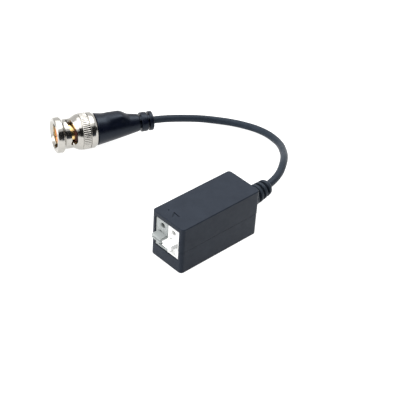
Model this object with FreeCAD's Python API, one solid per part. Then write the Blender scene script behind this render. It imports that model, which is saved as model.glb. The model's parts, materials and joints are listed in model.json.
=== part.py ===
import FreeCAD, Part
import math
import os

from FreeCAD import Placement, Rotation, Vector

# A passive video balun: a small clamshell case with a two-pole push terminal at one end and a short
# coaxial lead with a bayonet plug at the other. Millimetres, +Z up, +X from the terminal to the lead.
# The origin is the centre of the case's underside.

# Case
case_length = 37.5
case_width = 16.25
case_height = 19.5
corner_radius = 1.4
side_wall = 1.6
floor_thickness = 1.3
roof_thickness = 1.3
top_edge = 0.25
foot_edge = 0.2
seam_height = 9.3
seam_gap = 0.12
foot_inset = 0.05
tongue_height = 1.3
tongue_thickness = 0.7
tongue_clearance = 0.08
bead_radius = 0.3
bead_length = 6.0
bead_offset = 9.0

# Mark pressed into the roof near the terminal
mark_corner = (-14.2, 1.55)
mark_strokes = ((-94.0, 2.8, 0.55), (-148.0, 2.2, 0.35))
mark_depth = 0.3
dimple_spot = (-14.6, 4.05)
dimple_radius = 0.28

# Window for the terminal in the end wall
window_jamb = 0.375
window_sill_gap = 0.05
window_head_gap = 0.1

# Circuit board and what holds it
board_thickness = 1.0
board_top = 5.2
board_clearance = 0.15
board_end = 12.0
rail_width = 1.0
post_size = 1.1
post_inset = 1.3
post_stations = (-4.0, 10.4)
hold_gap = 0.05

# Push terminal, one module for each pole
pole_gap = 0.1
pole_pitch = 5.6
pole_split_y = -0.1
module_side_gap = 0.05
module_head_gap = 0.6
module_depth = 10.0
module_recess = 0.35
module_front_wall = 1.5
module_side_wall = 0.45
module_floor = 0.8
module_roof = 0.9
module_edge = 0.15
wire_bore_radius = 1.0
wire_funnel = 0.35
test_slot_width = 1.0
test_slot_height = 0.55
test_slot_depth = 1.0
test_slot_offset = 0.9
pocket_width = 3.4
pocket_height = 2.3
pocket_depth = 1.2
pocket_share = 0.0645

# Release tab, pressed inwards to open the clamp
tab_height = 2.0
tab_share = 0.4677
tab_reach = 2.7
tab_clearance = 0.05
tab_shoulder = 0.5
tab_shoulder_length = 1.3
tab_groove = 0.7
tab_edge = 0.25
tab_nose_gap = 0.2

# Contact bar and clamp spring
bar_thickness = 0.55
bar_seat_gap = 0.05
strip_side_gap = 0.7
bar_front_gap = 0.65
bar_rear_gap = 0.85
tail_width = 1.0
tail_length = 1.3
tail_hole_clearance = 0.25
spring_strip = 0.3
spring_bend_radius = 0.9
spring_bend_setback = 2.45
spring_tip_setback = 0.64
spring_seat_gap = 0.05
spring_tip_gap = 0.1

# Toroid choke on the board
choke_x = 1.5
choke_outer_radius = 4.2
choke_inner_radius = 2.0
choke_height = 3.4
choke_edge = 0.4
winding_wire_radius = 0.2
winding_gap = 0.03
winding_turns = 6
winding_spread = 110.0

# Small parts on the board
diode_x = 8.9
diode_inset = 3.6
diode_size = (4.2, 3.0, 2.2)
diode_edge = 0.2
diode_leg = 0.9
diode_leg_height = 1.1
chip_x = 7.9
chip_inset = 3.1
chip_size = (1.2, 2.0, 0.9)
chip_pitch = 1.9
chip_count = 2
chip_cap = 0.35
chip_cap_rise = 0.04

# Lead and its gland
cord_radius = 1.5
cord_clearance = 0.03
gland_height = 10.1
gland_length = 13.35
gland_bend = 9.0
gland_bend_stations = (5.6, 10.4)
gland_root_radius = 4.25
gland_end_radius = 3.1
gland_end_bevel = 1.0
gland_end_drop = 0.7
gland_neck_radius = 3.6
gland_neck_clearance = 0.05
gland_flange_radius = 5.0
gland_flange_thickness = 1.6
gland_flange_gap = 0.05
ring_slot_width = 1.0
ring_slot_core = 2.35
ring_slot_first = 5.1
ring_slot_pitch = 2.4
ring_web_angles = (90.0, 45.0, 20.0)
ring_web_sweep = 40.0
ring_web_inset = 0.3
ring_web_reach = 0.2
jacket_end_x = 12.0
dielectric_radius = 0.75
dielectric_stub = 1.2
core_radius = 0.3
core_pad_x = 8.4
braid_radius = 0.3
braid_offset = 1.2
braid_pad_x = 10.2

# Plug: where its mouth lies, and which way its axis runs from mouth to boot
nut_crest_radius = 7.35
mouth_x = -7.45
mouth_y = 79.725
plug_turn = -22.5

# Coupling nut, stations from the mouth
nut_length = 16.4
nut_bore = 4.95
nut_mouth_radius = 6.0
nut_mouth_depth = 1.0
nut_flange_radius = 7.2
nut_flange_end = 2.6
nut_roll = 0.4
nut_waist_radius = 6.0
nut_waist_start = 3.9
nut_waist_end = 7.1
nut_flare_end = 9.0
nut_band_end = 10.2
nut_rear_radius = 6.6
nut_shoulder = 15.3
nut_chamber_radius = 5.75
nut_chamber_start = 8.2
nut_groove_radius = 7.2
slot_cutter_margin = 0.25
slot_cutter_depth = 0.6
knurl_start = 10.5
knurl_length = 2.9
knurl_teeth = 54
knurl_depth = 0.32
knurl_backing = 0.5
knurl_ring_gap = 0.5
rear_groove_end = 13.65
keyway_width = 2.2
keyway_radius = 5.55
keyway_angle = 90.0
slot_start = 5.7
slot_end = 7.0
slot_sweep = 100.0
slot_ramp_share = 0.6
slot_detent = 0.45
slot_steps = 5
slot_end_relief = 0.07

# Plug body, its washers and its ring
contact_radius = 4.05
contact_bore = 3.2
contact_start = 1.3
contact_slits = 4
contact_slit_angle = 45.0
contact_slit_width = 0.45
contact_slit_length = 4.6
contact_edge = 0.25
gasket_seat_radius = 3.6
body_flange_radius = 5.55
body_flange_thickness = 1.5
flange_gap = 0.1
body_neck_radius = 4.3
body_end = 18.6
body_back_wall = 2.4
stub_radius = 1.35
stub_length = 5.0
gasket_length = 0.7
gasket_clearance = 0.04
thrust_washer_thickness = 0.5
ring_thickness = 0.8
ring_groove_depth = 0.45
ring_seat_clearance = 0.05
ring_opening = 40.0
ring_bore_gap = 0.52
spring_washer_strip = 0.3
spring_washer_length = 1.7
spring_washer_waves = 3
spring_washer_steps = 24
spring_washer_inner = 4.45
washer_clearance = 0.06
face_gap = 0.03

# Insulator and centre pin
insulator_start = 1.55
insulator_clearance = 0.02
pin_radius = 0.685
pin_start = 1.25
pin_tip = 0.35
pin_collar_radius = 0.9
pin_collar_length = 1.6

# Ferrule and boot
ferrule_wall = 0.4
ferrule_length = 8.0
ferrule_start_gap = 0.2
jacket_setback = 0.4
boot_gap = 0.3
boot_front_radius = 6.55
boot_front_edge = 0.35
boot_tail_radius = 3.5
boot_taper_length = 18.1
boot_taper_crown = 0.1
boot_taper_shares = (0.38, 0.75, 1.0)
boot_cavity_clearance = 0.03
pad_start = 21.0
pad_end = 30.4
pad_height = 6.15
pad_width = 5.6
pad_rise = 2.8
pad_fall = 2.8
pad_foot = 4.4
pad_edge = 0.5
rib_radius = 3.95
rib_groove_radius = 2.55
rib_stations = ((35.6, 38.2), (39.0, 40.6))
rib_groove_width = 0.8
rib_edge = 0.3
rib_bridge_width = 1.6
rib_bridge_inset = 0.25
rib_bridge_angle = 120.0
boot_end = 41.0

# Route of the free lead, from the gland's end to the boot's end
cord_points = (
    (48.9, 8.0, 10.2),
    (57.4, 15.9, 6.2),
    (64.4, 25.0, 3.1),
    (66.8, 36.5, 1.6),
    (62.5, 47.0, 1.5),
    (56.6, 54.6, 1.6),
    (48.9, 58.3, 3.7),
)
cord_first_run = 7.4
cord_last_run = 4.6
bend_share = 0.45

# Margins of the cutting and joining shapes
overshoot = 1.0
overlap = 0.1
tiny = 1e-6

# Places worked out from the driving dimensions
case_front = -case_length / 2
cavity_half_length = case_length / 2 - side_wall
cavity_half_width = case_width / 2 - side_wall
window_half_width = cavity_half_width - window_jamb
window_sill = board_top - window_sill_gap
module_top = case_height - roof_thickness - module_head_gap
module_height = module_top - board_top
window_head = module_top + window_head_gap
module_outer_y = window_half_width - module_side_gap
module_inner_half = (pole_pitch - pole_gap) / 2
module_front = case_front + module_recess
module_rear = module_front + module_depth
module_cavity_front = module_front + module_front_wall
module_cavity_half = module_inner_half - module_side_wall
module_cavity_floor = board_top + module_floor
module_cavity_roof = module_top - module_roof
strip_width = 2 * (module_cavity_half - strip_side_gap)
tab_centre_height = board_top + tab_share * module_height
tab_bottom = tab_centre_height - tab_height / 2
tab_top = tab_centre_height + tab_height / 2
pocket_bottom = board_top + pocket_share * module_height
bar_bottom = module_cavity_roof - bar_seat_gap - bar_thickness
wire_bore_height = bar_bottom - wire_bore_radius
bar_front = module_cavity_front + bar_front_gap
bar_rear = module_rear - bar_rear_gap
spring_foot_height = module_cavity_floor + spring_seat_gap + spring_strip / 2
spring_bend_x = module_cavity_front + spring_bend_setback
spring_bend_height = spring_foot_height + spring_bend_radius
spring_tip_x = bar_rear - bar_thickness - spring_tip_setback
spring_tip_height = bar_bottom - spring_tip_gap - spring_strip / 2
spring_reach = math.hypot(spring_tip_x - spring_bend_x, spring_tip_height - spring_bend_height)
spring_slope = math.atan2(spring_tip_height - spring_bend_height, spring_tip_x - spring_bend_x)
spring_lean = spring_slope - math.asin(spring_bend_radius / spring_reach)
diode_y = cavity_half_width - diode_inset
chip_y = chip_inset - cavity_half_width
gland_axis = Vector(case_length / 2, 0, gland_height)
plug_place = Placement(Vector(mouth_x, mouth_y, nut_crest_radius), Rotation(Vector(0, 0, 1), plug_turn))
flange_start = nut_chamber_start + flange_gap
flange_end = flange_start + body_flange_thickness
gasket_start = flange_start - face_gap - gasket_length
spring_washer_end = flange_end + face_gap + spring_washer_length
thrust_washer_start = spring_washer_end + face_gap
ring_start = thrust_washer_start + thrust_washer_thickness + face_gap
stub_end = body_end + stub_length
ferrule_start = body_end + ferrule_start_gap
ferrule_bore = cord_radius + cord_clearance
ferrule_radius = ferrule_bore + ferrule_wall
ferrule_end = ferrule_start + ferrule_length
jacket_start = stub_end + jacket_setback
boot_start = nut_length + boot_gap
poles = (("left", pole_split_y + pole_pitch / 2), ("right", pole_split_y - pole_pitch / 2))

x_axis = Vector(1, 0, 0)
z_axis = Vector(0, 0, 1)
centre = Vector(0, 0, 0)


def block(x0, x1, y0, y1, z0, z1):
    """A box between two corners."""
    return Part.makeBox(x1 - x0, y1 - y0, z1 - z0, Vector(x0, y0, z0))


def rod(radius, start, end):
    """A round bar between two points."""
    run = end.sub(start)
    return Part.makeCylinder(radius, run.Length, start, run)


def united(shapes):
    """One shape from several that touch or overlap."""
    shape = shapes[0].fuse(list(shapes[1:]))
    return shape.removeSplitter()


def rounded_rectangle(length, width, radius, z):
    """A closed wire round the origin, with arcs at its corners."""
    hx = length / 2
    hy = width / 2
    turn = math.sqrt(0.5) * radius
    edges = []
    for sx, sy in ((1, 1), (-1, 1), (-1, -1), (1, -1)):
        cx = sx * (hx - radius)
        cy = sy * (hy - radius)
        side_end = Vector(cx + sx * radius, cy, z)
        end_end = Vector(cx, cy + sy * radius, z)
        middle = Vector(cx + sx * turn, cy + sy * turn, z)
        first, last = (side_end, end_end) if sx * sy > 0 else (end_end, side_end)
        if edges:
            edges.append(Part.LineSegment(corner_end, first).toShape())
        else:
            outline_start = first
        edges.append(Part.Arc(first, middle, last).toShape())
        corner_end = last
    edges.append(Part.LineSegment(corner_end, outline_start).toShape())
    return Part.Wire(edges)


def rounded_block(length, width, radius, z0, z1):
    """An upright prism with rounded corners."""
    face = Part.Face(rounded_rectangle(length, width, radius, z0))
    return face.extrude(Vector(0, 0, z1 - z0))


def flat_outline(points, plane):
    """A closed wire from (a, b) points; a four-value entry is an arc's middle and end."""
    spot = {"xz": lambda a, b: Vector(a, 0, b), "xy": lambda a, b: Vector(a, b, 0)}[plane]
    here = points[0]
    edges = []
    for step in list(points[1:]) + [points[0]]:
        if len(step) == 4:
            middle = spot(step[0], step[1])
            edges.append(Part.Arc(spot(*here), middle, spot(step[2], step[3])).toShape())
            here = (step[2], step[3])
        elif step != here:
            edges.append(Part.LineSegment(spot(*here), spot(*step)).toShape())
            here = step
    return Part.Wire(edges)


def turned(points, sweep=360.0):
    """A solid of revolution about the X axis from (station, radius) points."""
    face = Part.Face(flat_outline(points, "xy"))
    return face.revolve(centre, x_axis, sweep)


def tube(start, end, outer, inner):
    """A plain ring along the X axis."""
    return turned([(start, inner), (start, outer), (end, outer), (end, inner)])


def sector(start, end, inner, outer, middle_angle, sweep):
    """Part of a ring about the X axis, centred on an angle measured from +Y towards +Z."""
    piece = turned([(start, inner), (start, outer), (end, outer), (end, inner)], sweep)
    piece.rotate(centre, x_axis, middle_angle - sweep / 2)
    return piece


def bent_bar(points, bend_radii, radius):
    """A round bar of straight runs and tangent arcs, with one bend radius for each inner point."""
    here = points[0]
    length = 0.0
    pieces = []
    for index, bend_radius in enumerate(bend_radii, start=1):
        before = points[index].sub(points[index - 1]).normalize()
        after = points[index + 1].sub(points[index]).normalize()
        turn = before.getAngle(after)
        setback = bend_radius * math.tan(turn / 2)
        arc_start = points[index].sub(before * setback)
        arc_end = points[index].add(after * setback)
        normal = before.cross(after).normalize()
        pivot = arc_start.add(normal.cross(before) * bend_radius)
        disc = Part.Face(Part.Wire(Part.Circle(arc_start, before, radius).toShape()))
        pieces.append(rod(radius, here, arc_start))
        pieces.append(disc.revolve(pivot, normal, math.degrees(turn)))
        length += arc_start.sub(here).Length + bend_radius * turn
        here = arc_end
    pieces.append(rod(radius, here, points[-1]))
    length += points[-1].sub(here).Length
    return united(pieces), length


def mitred_bar(points, radius):
    """A round bar along a chain of straight runs, mitred where they meet."""
    corners = [Vector(*point) for point in points]
    profile = Part.Wire(Part.Circle(corners[0], corners[1].sub(corners[0]), radius).toShape())
    return Part.makePolygon(corners).makePipeShell([profile], True, False, 1)


def save(name, shape):
    """Write one node and say what it is."""
    solids = shape.Solids
    if not shape.isValid() or not solids:
        print("problem in", name)
    shape.exportStep(os.path.join("parts", name + ".step"))
    print(f"{name}: {len(solids)} solid, {shape.Volume:.2f} mm3")


def gland_hole():
    """What the two shells give up for the gland's neck."""
    reach = Vector(side_wall, 0, 0)
    return rod(gland_neck_radius + gland_neck_clearance, gland_axis.sub(reach * 2), gland_axis.add(reach))


def window_space():
    """The opening in the end wall for both modules."""
    inner = case_front + side_wall
    half = window_half_width
    return block(case_front - overshoot, inner + tiny, -half, half, window_sill, window_head)


def snap_beads(radius, length):
    """Bars along both long sides, centred on the outer face of the tongue."""
    face_y = cavity_half_width + tongue_thickness
    height = seam_height + tongue_height / 2
    beads = []
    for side in (-1, 1):
        for station in (-bead_offset, bead_offset):
            start = Vector(station - length / 2, side * face_y, height)
            beads.append(rod(radius, start, start.add(Vector(length, 0, 0))))
    return beads


def lower_shell():
    """Tray set in from the cover, with a tongue along its rim and rails under the board."""
    length = case_length - 2 * foot_inset
    shell = rounded_block(length, case_width - 2 * foot_inset, corner_radius, 0, seam_height)
    shell = shell.makeChamfer(foot_edge, [e for e in shell.Edges if e.BoundBox.ZMax < tiny])
    inner_radius = max(corner_radius - side_wall, 0.0) + tongue_thickness / 2
    tongue_length = 2 * (cavity_half_length + tongue_thickness)
    tongue_width = 2 * (cavity_half_width + tongue_thickness)
    tongue_top = seam_height + tongue_height
    tongue_radius = inner_radius + tongue_thickness
    tongue = rounded_block(tongue_length, tongue_width, tongue_radius, seam_height - overshoot, tongue_top)
    shell = united([shell, tongue] + snap_beads(bead_radius, bead_length))
    cavity = rounded_block(
        2 * cavity_half_length, 2 * cavity_half_width, inner_radius, floor_thickness, tongue_top + overshoot
    )
    shell = shell.cut(cavity)
    board_bottom = board_top - board_thickness
    rails = []
    for side in (-1, 1):
        near = side * (cavity_half_width - rail_width)
        far = side * (cavity_half_width + side_wall / 4)
        low, high = sorted((near, far))
        rail_start = -cavity_half_length - side_wall / 4
        rails.append(block(rail_start, board_end, low, high, floor_thickness / 2, board_bottom))
    shell = united([shell] + rails)
    return shell.cut([window_space(), gland_hole()])


def roof_mark():
    """Two strokes that share a corner and a dot, all pressed into the roof."""
    deep = case_height - mark_depth
    arms = []
    for direction, length, width in mark_strokes:
        arm = block(-width / 2, length, -width / 2, width / 2, deep, case_height + overshoot)
        arm.rotate(centre, z_axis, direction)
        arm.translate(Vector(*mark_corner, 0))
        arms.append(arm)
    dot = rod(dimple_radius, Vector(*dimple_spot, deep), Vector(*dimple_spot, case_height + overshoot))
    return [united(arms), dot]


def upper_shell():
    """Cover with a rebate for the tongue and posts that hold the board down."""
    bottom = seam_height + seam_gap
    shell = rounded_block(case_length, case_width, corner_radius, bottom, case_height)
    top_edges = [e for e in shell.Edges if e.BoundBox.ZMin > case_height - tiny]
    shell = shell.makeChamfer(top_edge, top_edges)
    inner_radius = max(corner_radius - side_wall, 0.0) + tongue_thickness / 2
    cavity_top = case_height - roof_thickness
    cavity = rounded_block(
        2 * cavity_half_length, 2 * cavity_half_width, inner_radius, bottom - overshoot, cavity_top
    )
    rebate_step = tongue_thickness + tongue_clearance
    rebate = rounded_block(
        2 * (cavity_half_length + rebate_step),
        2 * (cavity_half_width + rebate_step),
        inner_radius + rebate_step,
        bottom - overshoot,
        seam_height + tongue_height + tongue_clearance,
    )
    groove_length = bead_length + 2 * tongue_clearance
    grooves = snap_beads(bead_radius + tongue_clearance, groove_length)
    shell = shell.cut([cavity, rebate] + grooves)
    posts = []
    for station in post_stations:
        for side in (-1, 1):
            middle = side * (cavity_half_width - post_inset)
            half = post_size / 2
            foot = board_top + hold_gap
            head = cavity_top + overlap
            post = block(station - half, station + half, middle - half, middle + half, foot, head)
            posts.append(post)
    shell = united([shell] + posts)
    return shell.cut([window_space(), gland_hole()] + roof_mark())


def terminal_module(pole_y):
    """Housing of one pole: wire entry above, tab slot and probe notch below it, open at the rear."""
    side = 1 if pole_y > pole_split_y else -1
    low, high = sorted((pole_split_y + side * pole_gap / 2, side * module_outer_y))
    body = block(module_front, module_rear, low, high, board_top, module_top)
    front_edges = [e for e in body.Edges if e.BoundBox.XMax < module_front + tiny]
    body = body.makeChamfer(module_edge, front_edges)
    inner = module_cavity_half
    cavity = block(
        module_cavity_front,
        module_rear + overshoot,
        pole_y - inner,
        pole_y + inner,
        module_cavity_floor,
        module_cavity_roof,
    )
    tab_slot = block(
        module_front - overshoot,
        module_cavity_front + overlap,
        pole_y - inner,
        pole_y + inner,
        tab_bottom - tab_clearance,
        tab_top + tab_clearance,
    )
    probe_y = pole_y + test_slot_offset
    probe = block(
        module_front - overshoot,
        module_front + test_slot_depth,
        probe_y - test_slot_width / 2,
        probe_y + test_slot_width / 2,
        tab_top,
        tab_top + tab_clearance + test_slot_height,
    )
    pocket = block(
        module_front - overshoot,
        module_front + pocket_depth,
        pole_y - pocket_width / 2,
        pole_y + pocket_width / 2,
        pocket_bottom,
        pocket_bottom + pocket_height,
    )
    tail_half = tail_width / 2 + tail_hole_clearance
    tail_way = block(
        bar_rear - bar_thickness - tail_hole_clearance,
        module_rear + overshoot,
        pole_y - tail_half,
        pole_y + tail_half,
        board_top - overshoot,
        module_cavity_floor + overlap,
    )
    entry = turned(
        [
            (module_front - overshoot, 0),
            (module_front - overshoot, wire_bore_radius + wire_funnel + overshoot),
            (module_front + wire_funnel, wire_bore_radius),
            (module_cavity_front + overlap, wire_bore_radius),
            (module_cavity_front + overlap, 0),
        ]
    )
    entry.translate(Vector(0, pole_y, wire_bore_height))
    return body.cut([cavity, tab_slot, probe, pocket, tail_way, entry])


def spring_leg_start():
    """Where the bend of the clamp spring runs into its leaning leg."""
    return (
        spring_bend_x - spring_bend_radius * math.sin(spring_lean),
        spring_bend_height + spring_bend_radius * math.cos(spring_lean),
    )


def release_tab(pole_y):
    """Sliding tab with a driver groove in its tip and shoulders that keep it in."""
    half = module_cavity_half - tab_clearance
    tip = case_front - tab_reach
    leg_x, leg_z = spring_leg_start()
    strip_face = spring_strip / 2 / math.sin(spring_lean)
    nose = leg_x + (tab_bottom - leg_z) / math.tan(spring_lean) - strip_face - tab_nose_gap
    back = module_cavity_front + tab_clearance
    shoulder_end = back + tab_shoulder_length
    mid = tab_centre_height
    groove = tab_groove / 2
    side = [
        (tip, tab_bottom + tab_edge),
        (tip, mid - groove),
        (tip + tab_groove, mid),
        (tip, mid + groove),
        (tip, tab_top - tab_edge),
        (tip + tab_edge, tab_top),
        (back, tab_top),
        (back, tab_top + tab_shoulder),
        (shoulder_end, tab_top + tab_shoulder),
        (shoulder_end, tab_top),
        (nose - tab_edge, tab_top),
        (nose, tab_top - tab_edge),
        (nose, tab_bottom),
        (shoulder_end, tab_bottom),
        (shoulder_end, tab_bottom - tab_shoulder),
        (back, tab_bottom - tab_shoulder),
        (back, tab_bottom),
        (tip + tab_edge, tab_bottom),
    ]
    face = Part.Face(flat_outline(side, "xz"))
    tab = face.extrude(Vector(0, 2 * half, 0))
    tab.translate(Vector(0, pole_y - half, 0))
    return tab


def contact_bar(pole_y):
    """Bar that the wire is pressed on, bent down at the rear into a solder tail."""
    top = bar_bottom + bar_thickness
    side = [
        (bar_front, bar_bottom),
        (bar_front, top),
        (bar_rear, top),
        (bar_rear, module_cavity_floor + overlap),
        (bar_rear - bar_thickness, module_cavity_floor + overlap),
        (bar_rear - bar_thickness, bar_bottom),
    ]
    face = Part.Face(flat_outline(side, "xz"))
    bar = face.extrude(Vector(0, strip_width, 0))
    bar.translate(Vector(0, pole_y - strip_width / 2, 0))
    tail = block(
        bar_rear - bar_thickness,
        bar_rear,
        pole_y - tail_width / 2,
        pole_y + tail_width / 2,
        board_top - board_thickness - tail_length,
        module_cavity_floor + overshoot,
    )
    return united([bar, tail])


def clamp_spring(pole_y):
    """Strip spring: a flat foot, a bend and a leaning leg whose end grips the wire."""
    across = math.sin(spring_lean)
    along = math.cos(spring_lean)
    foot_end = bar_rear - bar_thickness - spring_tip_gap
    outlines = []
    for offset in (spring_strip / 2, -spring_strip / 2):
        radius = spring_bend_radius + offset
        bend_side = (spring_bend_x - radius, spring_bend_height)
        bend_end = (spring_bend_x - radius * across, spring_bend_height + radius * along)
        foot = spring_foot_height - offset
        tip = (spring_tip_x - offset * across, spring_tip_height + offset * along)
        outlines.append(((foot_end, foot), (spring_bend_x, foot), bend_side, bend_end, tip))
    outer, inner = outlines
    side = [outer[0], outer[1], outer[2] + outer[3], outer[4]]
    side += [inner[4], inner[3], inner[2] + inner[1], inner[0]]
    face = Part.Face(flat_outline(side, "xz"))
    spring = face.extrude(Vector(0, strip_width, 0))
    spring.translate(Vector(0, pole_y - strip_width / 2, 0))
    return spring


def circuit_board():
    """Board on the rails, with holes for the terminal's tails."""
    half = cavity_half_width - board_clearance
    start = -cavity_half_length + board_clearance
    board = block(start, board_end, -half, half, board_top - board_thickness, board_top)
    tail_x = bar_rear - bar_thickness / 2
    hole_radius = math.hypot(tail_width, bar_thickness) / 2 + tail_hole_clearance / 2
    holes = []
    for _, pole_y in poles:
        low = Vector(tail_x, pole_y, board_top - board_thickness - overshoot)
        holes.append(rod(hole_radius, low, Vector(tail_x, pole_y, board_top + overshoot)))
    return board.cut(holes)


def choke_base():
    """Height of the core's underside, with the wire of the windings below it."""
    return board_top + 2 * winding_wire_radius + 2 * winding_gap


def choke_core():
    """Ferrite ring lying on its windings."""
    ring = Part.makeCylinder(choke_outer_radius, choke_height, Vector(choke_x, 0, choke_base()))
    hole_start = Vector(choke_x, 0, choke_base() - overshoot)
    ring = ring.cut(Part.makeCylinder(choke_inner_radius, choke_height + 2 * overshoot, hole_start))
    rims = [e for e in ring.Edges if e.BoundBox.ZLength < tiny and e.Curve.Radius > choke_inner_radius]
    return ring.makeChamfer(choke_edge, rims)


def choke_winding(middle_angle):
    """Turns of enamelled wire round half of the core, each one a closed loop."""
    near = choke_inner_radius - winding_gap
    far = choke_outer_radius + winding_gap
    low = choke_base() - winding_gap
    high = choke_base() + choke_height + winding_gap
    wire = 2 * winding_wire_radius
    outside = block(near - wire, far + wire, -wire / 2, wire / 2, low - wire, high + wire)
    loop = outside.cut(block(near, far, -wire, wire, low, high))
    turns = []
    for index in range(winding_turns):
        turn = loop.copy()
        share = index / (winding_turns - 1) - 0.5
        turn.rotate(centre, z_axis, middle_angle + share * winding_spread)
        turn.translate(Vector(choke_x, 0, 0))
        turns.append(turn)
    return Part.makeCompound(turns)


def surge_diode():
    """Moulded body on two folded legs."""
    length, width, height = diode_size
    hx = length / 2
    hy = width / 2
    seat = board_top + face_gap
    body = block(diode_x - hx, diode_x + hx, diode_y - hy, diode_y + hy, seat, seat + height)
    body = body.makeChamfer(diode_edge, [e for e in body.Edges if e.BoundBox.ZMin > seat + height - tiny])
    legs = []
    for side in (-1, 1):
        near = diode_x + side * (hx - diode_leg / 2)
        far = diode_x + side * (hx + diode_leg / 2)
        low, high = sorted((near, far))
        half = width / 4
        legs.append(block(low, high, diode_y - half, diode_y + half, seat, seat + diode_leg_height))
    return united([body] + legs)


def chip_capacitors():
    """Ceramic chips with a metal cap at each end."""
    length, width, height = chip_size
    seat = board_top + face_gap
    chips = []
    for index in range(chip_count):
        x0 = chip_x + (index - (chip_count - 1) / 2) * chip_pitch - length / 2
        y0 = chip_y - width / 2
        chip = block(x0, x0 + length, y0, y0 + width, seat, seat + height)
        y1 = y0 + chip_cap
        y2 = y0 + width - chip_cap
        waist_floor = seat + height - chip_cap_rise
        waist_top = seat + height + overshoot
        waist = block(x0 - overshoot, x0 + length + overshoot, y1, y2, waist_floor, waist_top)
        chips.append(chip.cut(waist))
    return Part.makeCompound(chips)


def gland_place(station):
    """Place on the gland's axis, with local X along it: three straight runs with two slight bends."""
    spot = Vector(gland_axis)
    heading = 0.0
    done = 0.0
    for bend_station in gland_bend_stations:
        step = min(station, bend_station) - done
        spot = spot.add(Rotation(z_axis, heading).multVec(Vector(step, 0, 0)))
        done += step
        if station > bend_station:
            heading += gland_bend / len(gland_bend_stations)
    spot = spot.add(Rotation(z_axis, heading).multVec(Vector(station - done, 0, 0)))
    return Placement(spot, Rotation(z_axis, heading))


def along_gland(radius, start_x, past_end=0.0):
    """A round bar from a station inside the case to the gland's end or past it."""
    points = [(start_x, 0, gland_height)]
    for station in gland_bend_stations + (gland_length + past_end,):
        points.append(tuple(gland_place(station).Base))
    return mitred_bar(points, radius)


def gland_radius(station):
    """Outer radius of the plain taper."""
    share = station / gland_length
    return gland_root_radius + (gland_end_radius - gland_root_radius) * share


def gland_ring(start, end):
    """One ring of the gland between two stations."""
    ring = rod(gland_radius((start + end) / 2), centre, Vector(end - start, 0, 0))
    ring.Placement = gland_place(start + gland_flange_gap)
    return ring


def gland_bridges(start, middle_angle):
    """The two webs that join one ring to the next."""
    webs = []
    outer = gland_radius(start + ring_slot_width) - ring_web_inset
    for side in (0, 180):
        inner = cord_radius + ring_web_reach
        end = ring_slot_width + ring_web_reach
        web = sector(-ring_web_reach, end, inner, outer, middle_angle + side, ring_web_sweep)
        web.Placement = gland_place(start + gland_flange_gap).multiply(web.Placement)
        webs.append(web)
    return webs


def gland_end():
    """Last ring of the gland, narrowing to a bevelled end."""
    start = ring_slot_first + (len(ring_web_angles) - 1) * ring_slot_pitch + ring_slot_width
    length = gland_length - start
    bevel_start = length - gland_end_bevel
    end = turned(
        [
            (0, 0),
            (0, gland_radius(start)),
            (bevel_start, gland_radius(gland_length - gland_end_bevel)),
            (length, gland_end_radius - gland_end_drop),
            (length, 0),
        ]
    )
    place = gland_place(gland_length)
    end.Placement = place.multiply(Placement(Vector(-length, 0, 0), Rotation()))
    return end


def cable_gland():
    """Moulded strain relief: collar and neck held by the shells, a ringed taper outside."""
    wall_inner = gland_axis.sub(Vector(side_wall + gland_flange_gap, 0, 0))
    flange_back = wall_inner.sub(Vector(gland_flange_thickness, 0, 0))
    outer_face = gland_axis.add(Vector(2 * gland_flange_gap, 0, 0))
    flange = rod(gland_flange_radius, flange_back, wall_inner)
    pieces = [flange, rod(gland_neck_radius, wall_inner, outer_face)]
    root = turned(
        [
            (0, 0),
            (0, gland_root_radius),
            (ring_slot_first, gland_radius(ring_slot_first)),
            (ring_slot_first, 0),
        ]
    )
    root.Placement = gland_place(gland_flange_gap)
    pieces.append(root)
    for index, web_angle in enumerate(ring_web_angles):
        start = ring_slot_first + index * ring_slot_pitch
        pieces += gland_bridges(start, web_angle)
        if index < len(ring_web_angles) - 1:
            pieces.append(gland_ring(start + ring_slot_width, start + ring_slot_pitch))
    pieces.append(gland_end())
    pieces.append(along_gland(ring_slot_core, flange_back.x))
    return united(pieces).cut(along_gland(cord_radius + cord_clearance, jacket_end_x, overshoot))


def coax_centre_lead():
    """Bared dielectric and the wire inside it, bent down to the board."""
    start = Vector(jacket_end_x, 0, gland_height)
    stub = rod(dielectric_radius, start.sub(Vector(dielectric_stub, 0, 0)), start)
    wire = mitred_bar(
        [
            (jacket_end_x - dielectric_stub / 2, 0, gland_height),
            (core_pad_x, 0, gland_height),
            (core_pad_x, 0, board_top),
        ],
        core_radius,
    )
    return united([stub, wire])


def coax_braid_lead():
    """The screen, twisted into a tail that runs down to the board."""
    return mitred_bar(
        [
            (jacket_end_x, -braid_offset, gland_height),
            (braid_pad_x, -braid_offset, gland_height),
            (braid_pad_x, -braid_offset, board_top),
        ],
        braid_radius,
    )


def cord_route():
    """Corner points of the free lead, with its two ends in line with the gland and the boot."""
    gland_end = gland_place(gland_length)
    boot_axis_end = plug_place.multVec(Vector(boot_end, 0, 0))
    points = [gland_end.Base, gland_end.multVec(Vector(cord_first_run, 0, 0))]
    points += [Vector(*point) for point in cord_points]
    points += [plug_place.multVec(Vector(boot_end + cord_last_run, 0, 0)), boot_axis_end]
    return points


def cord():
    """The free stretch of the lead, on straight runs and tangent arcs."""
    points = cord_route()
    radii = []
    for index in range(1, len(points) - 1):
        before = points[index].sub(points[index - 1])
        after = points[index + 1].sub(points[index])
        half_turn = before.getAngle(after) / 2
        radii.append(bend_share * min(before.Length, after.Length) / math.tan(half_turn))
    solid, length = bent_bar(points, radii, cord_radius)
    expected = math.pi * cord_radius**2 * length
    print("cord radii", [round(radius, 1) for radius in radii])
    print(f"cord length {length:.1f} mm, volume {solid.Volume:.1f} against {expected:.1f} mm3")
    return solid


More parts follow.
